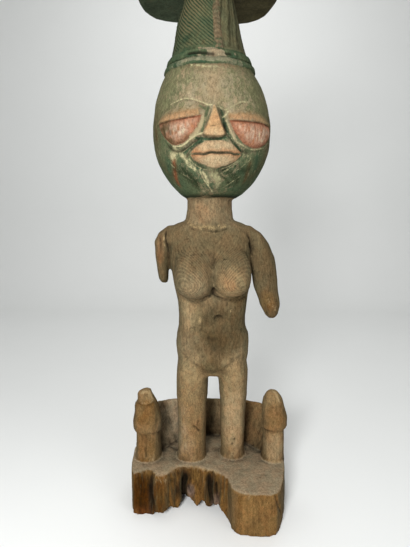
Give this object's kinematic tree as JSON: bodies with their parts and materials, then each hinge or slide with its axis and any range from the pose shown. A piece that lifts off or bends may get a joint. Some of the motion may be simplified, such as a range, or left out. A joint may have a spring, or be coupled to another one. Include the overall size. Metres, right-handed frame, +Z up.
{
  "type": "carved veranda post",
  "caption": "Wooden veranda post carved as a standing woman who carries a square capital on tall conical hair, on a worn footed base with small flanking figures.",
  "frame": {"origin": "middle of the underside, on the surface that the post stands on", "axes": "+Z up along the log, -Y the way the figure faces, +X to the right of someone looking at its face"},
  "size_m": [0.3414, 0.3308, 1.144],
  "materials": {
    "carved_wood": "dry weathered hardwood, head and capital with worn green and red paint"
  },
  "bodies": {
    "root": {"carved_post": "carved_wood"}
  },
  "joints": []
}
